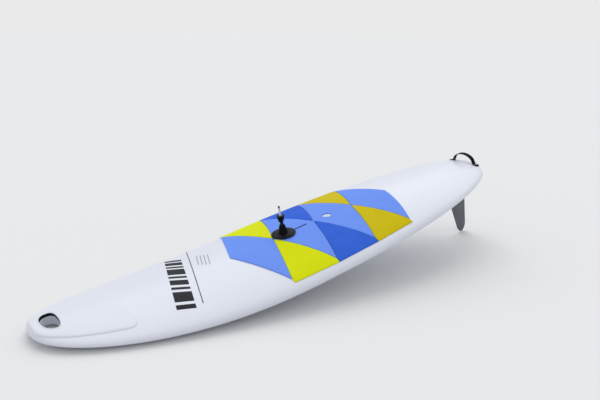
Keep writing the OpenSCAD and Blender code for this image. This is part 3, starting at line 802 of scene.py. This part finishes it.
cup = lathe("extension_cup", [
    (0, 98.5), (0, 76), (12.0, 76), (12.6, 76.3), (13.5, 77.6), (14.2, 82), (15.6, 88), (17, 94),
    (18.8, 99), (20.2, 102), (20.4, 103.4), (20.4, 105), (20.0, 105.7), (19.2, 106), (8.2, 106),
    (7.05, 105.4), (7.05, 98.5)],
    segments=144, flutes=Flutes(count=12, depth=0.9, low=80.0, high=97.0, inner_radius=13.0))
dress(cup, "black_plastic", crease=34)
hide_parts("upper_cup")
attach(cup, "foot_cup")


def tendon_radius(height):
    share = unit((height - 58.5) / 17)
    return 10 - 2.2 * math.sin(math.pi * share) ** 2


# Each half of the tendon: its ends, the bodies at either end, and the span of heights around its
# waist
TENDON_HALVES = (
    ("tendon_lower", 40.4, 67.0, ("foot_hub", "foot_tendon"), (57.0, 67.0)),
    ("tendon_upper", 67.0, 96.6, ("foot_tendon", "foot_cup"), (67.0, 77.0)),
)
for name, low, high, pair, reach in TENDON_HALVES:
    heights = [low + (high - low) * k / 40 for k in range(41)]
    body = lathe(name, [(0, low)] + [(tendon_radius(h), h) for h in heights] + [(0, high)])
    dress(body, "urethane", crease=50)
    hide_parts("flex_tendon")
    start, end = (BOARD @ Vector((FOOT_X, 0, h / 1000)) for h in reach)
    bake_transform(body)
    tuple(start)
    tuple(end)

pin = lathe("mast_pin_body", [
    (0, 98.6), (6.95, 98.6), (6.95, 106.9), (6.4, 107.5), (5.5, 107.5), (5.5, PIN_TOP - 17.4),
    (5.3, PIN_TOP - 17), (4.1, PIN_TOP - 16), (4.1, PIN_TOP - 12), (5.3, PIN_TOP - 11),
    (5.5, PIN_TOP - 10.6), (5.5, PIN_TOP - 6), (0, PIN_TOP - 6)])
dress(pin, "steel", crease=34)
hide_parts("mast_pin")
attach(pin, "foot_cup")

tip = lathe("mast_pin_cap", [
    (0, PIN_TOP - 6), (5.5, PIN_TOP - 6), (5.5, PIN_TOP - 2.6), (5.0, PIN_TOP - 1.6),
    (4.1, PIN_TOP - 0.7), (2.6, PIN_TOP - 0.1), (1.2, PIN_TOP), (0, PIN_TOP)])
dress(tip, "black_plastic", crease=50)
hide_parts("pin_tip")
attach(tip, "foot_cup")

# ---------------------------------------------------------------- fin
def fin_front(s):
    """Leading edge at share s of the way down, behind or ahead of the fin's origin."""
    return 0.41 * FIN_CHORD - 0.424 * FIN_CHORD * s


def fin_back(s):
    return -0.59 * FIN_CHORD + 0.24 * FIN_CHORD * s


def build_fin():
    levels, around = 64, 56
    points = []
    for i in range(levels + 1):
        s = 1 - (1 - 0.9985 * i / levels) ** 1.5
        rounding = 1.0 if s < 0.88 else math.sqrt(max(1 - ((s - 0.88) / 0.12) ** 2, 0))
        half = rounding * (fin_front(s) - fin_back(s)) / 2
        middle = (fin_front(s) + fin_back(s)) / 2
        for k in range(around):
            turn = math.tau * k / around
            share = (1 - math.cos(turn)) / 2
            thick = (0.105 - 0.03 * s) * 2 * half
            side = 2.3 * (0.36 * math.sqrt(share) - 0.12 * share - 0.24 * share * share)
            points.append((middle + half * math.cos(turn),
                           math.copysign(thick * side, math.sin(turn)),
                           -0.0006 - (FIN_DEPTH - 0.0006) * s))
    foil = make_mesh("fin_foil", points, loft_faces(levels + 1, around), FIN_FRAME)
    blade = dress(foil, "fin_grey", crease=50)
    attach(blade, "fin_blade")
    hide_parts("fin")
    points, faces = prism(rectangle(-0.080, 0.0598, -0.0046, 0.0046), -0.001, 0.0218)
    tab = make_mesh("fin_tab", points, faces, FIN_FRAME)
    pin_hole = rectangle(-0.0724, -0.0676, -0.01, 0.01)
    cut(tab, (*prism(pin_hole, 0.0082, 0.013), FIN_FRAME))
    dress(tab, "fin_grey")
    soften(tab, width=0.0005, segments=2)
    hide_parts("fin")
    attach(tab, "fin_blade")


build_fin()

# ---------------------------------------------------------------- tail handle
HANDLE_X = 0.036
HANDLE_HALF = 0.088
HANDLE_RISE = 0.050
STRAP_WIDTH = 0.026
STRAP_HALF_THICKNESS = 0.0019


def foot_place(side):
    """Where a foot of the strap lies, tilted to the deck under it."""
    y, step = HANDLE_HALF, 0.008
    slope_y = math.atan((deck_z(HANDLE_X, y - step) - deck_z(HANDLE_X, y + step)) / (2 * step))
    slope_x = math.atan((deck_z(HANDLE_X - step, y) - deck_z(HANDLE_X + step, y)) / (2 * step))
    turn = Matrix.Rotation(slope_x, 4, "Y") @ Matrix.Rotation(-side * slope_y, 4, "X")
    return Matrix.Translation((HANDLE_X, side * y, deck_z(HANDLE_X, y))) @ turn


def handle_path(t):
    z = deck_z(HANDLE_X, HANDLE_HALF) + 0.006
    arch = math.sin(math.pi * t) ** 0.8 * (1 - 0.04 * math.cos(math.tau * t))
    return -(HANDLE_HALF - 0.016) * math.cos(math.pi * t), z + HANDLE_RISE * arch


def strap_line():
    """The strap's centreline over the tail as (y, z): a foot, the arch and the other foot."""
    arch = [handle_path(t) for t in [0.015 + 0.97 * k / 60 for k in range(61)]]
    feet = {}
    for side in (-1, 1):
        feet[side] = []
        for across in (0.014, 0.006, -0.002, -0.009):
            p = foot_place(side) @ Vector((0, side * across, 0.0032))
            feet[side].append((p.y, p.z))
    return feet[-1] + arch + feet[1][::-1]


def smoothed(line):
    inner = [((a[0] + 2 * b[0] + c[0]) / 4, (a[1] + 2 * b[1] + c[1]) / 4)
             for a, b, c in zip(line, line[1:], line[2:])]
    return [line[0]] + inner + [line[-1]]


def build_strap():
    line = strap_line()
    for _ in range(3):
        line = smoothed(line)
    half_w, half_t = STRAP_WIDTH / 2, STRAP_HALF_THICKNESS
    under = [(-half_w, -0.4), (-half_w + 0.0006, -1), (-half_w * 0.5, -1), (0, -1),
             (half_w * 0.5, -1), (half_w - 0.0006, -1), (half_w, -0.4)]
    section = under + [(x, -share) for x, share in reversed(under)]
    points = []
    for k, (y, z) in enumerate(line):
        before, after = line[max(k - 1, 0)], line[min(k + 1, len(line) - 1)]
        run = math.hypot(after[0] - before[0], after[1] - before[1])
        normal = (-(after[1] - before[1]) / run, (after[0] - before[0]) / run)
        for x, share in section:
            points.append((HANDLE_X + x, y + normal[0] * half_t * share,
                           z + normal[1] * half_t * share))
    faces = loft_faces(len(line), len(section))
    strap = dress(make_mesh("handle_strap", points, faces), "webbing", crease=50)
    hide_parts("tail_handle")
    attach(strap, "hull")


def build_strap_foot(word, place):
    """The folded end of the strap, with a hole for its screw."""
    half_x, half_y, radius_x, radius_y = 0.0105, 0.013, 0.0024, 0.0035
    outline = []
    for sign_x, sign_y, start in ((1, 1, 0), (-1, 1, 90), (-1, -1, 180), (1, -1, 270)):
        for k in range(7):
            turn = math.radians(start + 15 * k)
            outline.append((sign_x * half_x + radius_x * math.cos(turn),
                            sign_y * half_y + radius_y * math.sin(turn)))
    points, faces = prism(outline, 0.0007, 0.0047)
    pad = make_mesh(f"handle_foot_{word}", points, faces, place)
    cut(pad, (*prism(circle(0, 0, 0.0031, 32), -0.01, 0.02), place))
    dress(pad, "webbing", crease=40)
    soften(pad, width=0.0008, segments=3).limit_method = "ANGLE"
    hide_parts("tail_handle")
    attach(pad, "hull")


def build_stitches(word, place):
    """Two rows of stitches through the folded end."""
    half_thread, half_stitch = 0.0003, 0.0012
    points, faces = [], []
    for x in (-0.0098, 0.0098):
        for k in range(8):
            y = -0.0125 + 0.0036 * k
            stitch = rectangle(x - half_thread, x + half_thread, y - half_stitch, y + half_stitch)
            shape = prism(stitch, 0.0046, 0.0051)
            shift = len(points)
            points += shape[0]
            faces += [tuple(v + shift for v in face) for face in shape[1]]
    mesh = make_mesh(f"handle_stitches_{word}", points, faces, place)
    stitches = dress(mesh, "webbing", THREAD)
    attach(stitches, "hull")


def build_handle():
    build_strap()
    for word, side in (("port", 1), ("starboard", -1)):
        place = BOARD @ foot_place(side)
        build_strap_foot(word, place)
        build_stitches(word, place)


build_handle()

# ---------------------------------------------------------------- marks on the deck
def mark(name, corners, finish, steps):
    """A thin printed patch that lies on the deck. Corners run round it as (x, y)."""
    a, b, c, d = corners

    def plan(s, t):
        near = [a[i] + (b[i] - a[i]) * s for i in (0, 1)]
        far = [d[i] + (c[i] - d[i]) * s for i in (0, 1)]
        return near[0] + (far[0] - near[0]) * t, near[1] + (far[1] - near[1]) * t
    grid = [[plan(s, t) for t in even(steps[1])] for s in even(steps[0])]
    points, faces = slab([[(x, y, deck_z(x, y) + 0.0004) for x, y in row] for row in grid],
                         [[(x, y, deck_z(x, y) - 0.0006) for x, y in row] for row in grid])
    patch = dress(make_mesh(name, points, faces), "hull_white", finish)
    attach(patch, "hull")


rule = ((1.7535, -0.333), (1.7575, -0.333), (1.9525, 0.245), (1.9485, 0.245))
mark("rule_line", rule, INK, (2, 90))


def on_band(share, side):
    """A point on the forward or aft edge of the striped band across the foredeck."""
    ends = ((1.895, -0.285), (2.062, 0.224)) if side else ((1.836, -0.212), (1.987, 0.256))
    return tuple(ends[0][i] + (ends[1][i] - ends[0][i]) * share for i in (0, 1))


# Where each stripe starts and stops along the band
STRIPES = ((0.0, 0.05), (0.085, 0.17), (0.21, 0.25), (0.285, 0.42), (0.46, 0.50), (0.54, 0.63),
           (0.67, 0.71), (0.75, 0.90), (0.94, 1.0))
for number, (start, stop) in enumerate(STRIPES):
    mark(f"deck_stripe_{number + 1}",
         (on_band(start, 0), on_band(start, 1), on_band(stop, 1), on_band(stop, 0)), INK, (12, 8))
for number in range(4):
    x, y = 1.762 - 0.0135 * number, -0.186 + 0.014 * number
    corners = ((x, y), (x + 0.005, y), (x + 0.053, y + 0.125), (x + 0.048, y + 0.125))
    mark(f"small_rule_{number + 1}", corners, PALE_INK, (2, 24))

# ---------------------------------------------------------------- camera, floor and light
eye = BOARD @ Vector((2.79735788, 2.47214431, 1.34872153))
turn = BOARD.to_3x3()
right = turn @ Vector((-0.80188125, 0.57875477, -0.14842298))
above = turn @ Vector((-0.33660487, -0.23235568, 0.91252836))
ahead = turn @ Vector((-0.49364321, -0.78169928, -0.38113333))
camera = bpy.data.objects.new("camera", bpy.data.cameras.new("camera"))
camera.matrix_world = Matrix.Translation(eye) @ Matrix((right, above, -ahead)).transposed().to_4x4()
camera.data.sensor_width = 36
camera.data.lens = 38.014
camera.data.clip_end = 200
bpy.context.scene.collection.objects.link(camera)
bpy.context.scene.camera = camera


FLOOR_RADIUS = 60


def build_floor():
    mesh = bpy.data.meshes.new("studio_floor")
    rim = [(x, y, -0.0006) for x, y in circle(0, 0, FLOOR_RADIUS)]
    mesh.from_pydata(rim, [], [tuple(range(len(rim)))])
    floor = bpy.data.objects.new("studio_floor", mesh)
    bpy.context.scene.collection.objects.link(floor)
    mesh.materials.append(finish_of("floor paint", (0.8, 0.8, 0.8), (0.795, 0.795, 0.795), 0.9,
                                    (0.5, 0.3), (40.0, 0.3, 0.02), 0.0))


build_floor()
world = bpy.data.worlds.new("studio")
bpy.context.scene.world = world
world.use_nodes = True
tree = world.node_tree
glow = tree.nodes["Background"]
glow.inputs["Color"].default_value = (0.96, 0.98, 1.0, 1)
glow.inputs["Strength"].default_value = 0.72
backdrop = tree.nodes.new("ShaderNodeBackground")
backdrop.inputs["Color"].default_value = (0.823, 0.823, 0.823, 1)
rays = tree.nodes.new("ShaderNodeLightPath")
blend = tree.nodes.new("ShaderNodeMixShader")
tree.links.new(rays.outputs["Is Camera Ray"], blend.inputs[0])
tree.links.new(glow.outputs[0], blend.inputs[1])
tree.links.new(backdrop.outputs[0], blend.inputs[2])
tree.links.new(blend.outputs[0], tree.nodes["World Output"].inputs["Surface"])
lamp = bpy.data.objects.new("overhead", bpy.data.lights.new("overhead", "SUN"))
lamp.data.energy = 1.2
lamp.data.angle = math.radians(60)
lamp.rotation_euler = Vector((0.3, 0.5, -0.8)).to_track_quat("-Z", "Y").to_euler()
bpy.context.scene.collection.objects.link(lamp)
bpy.context.scene.view_settings.view_transform = "Standard"
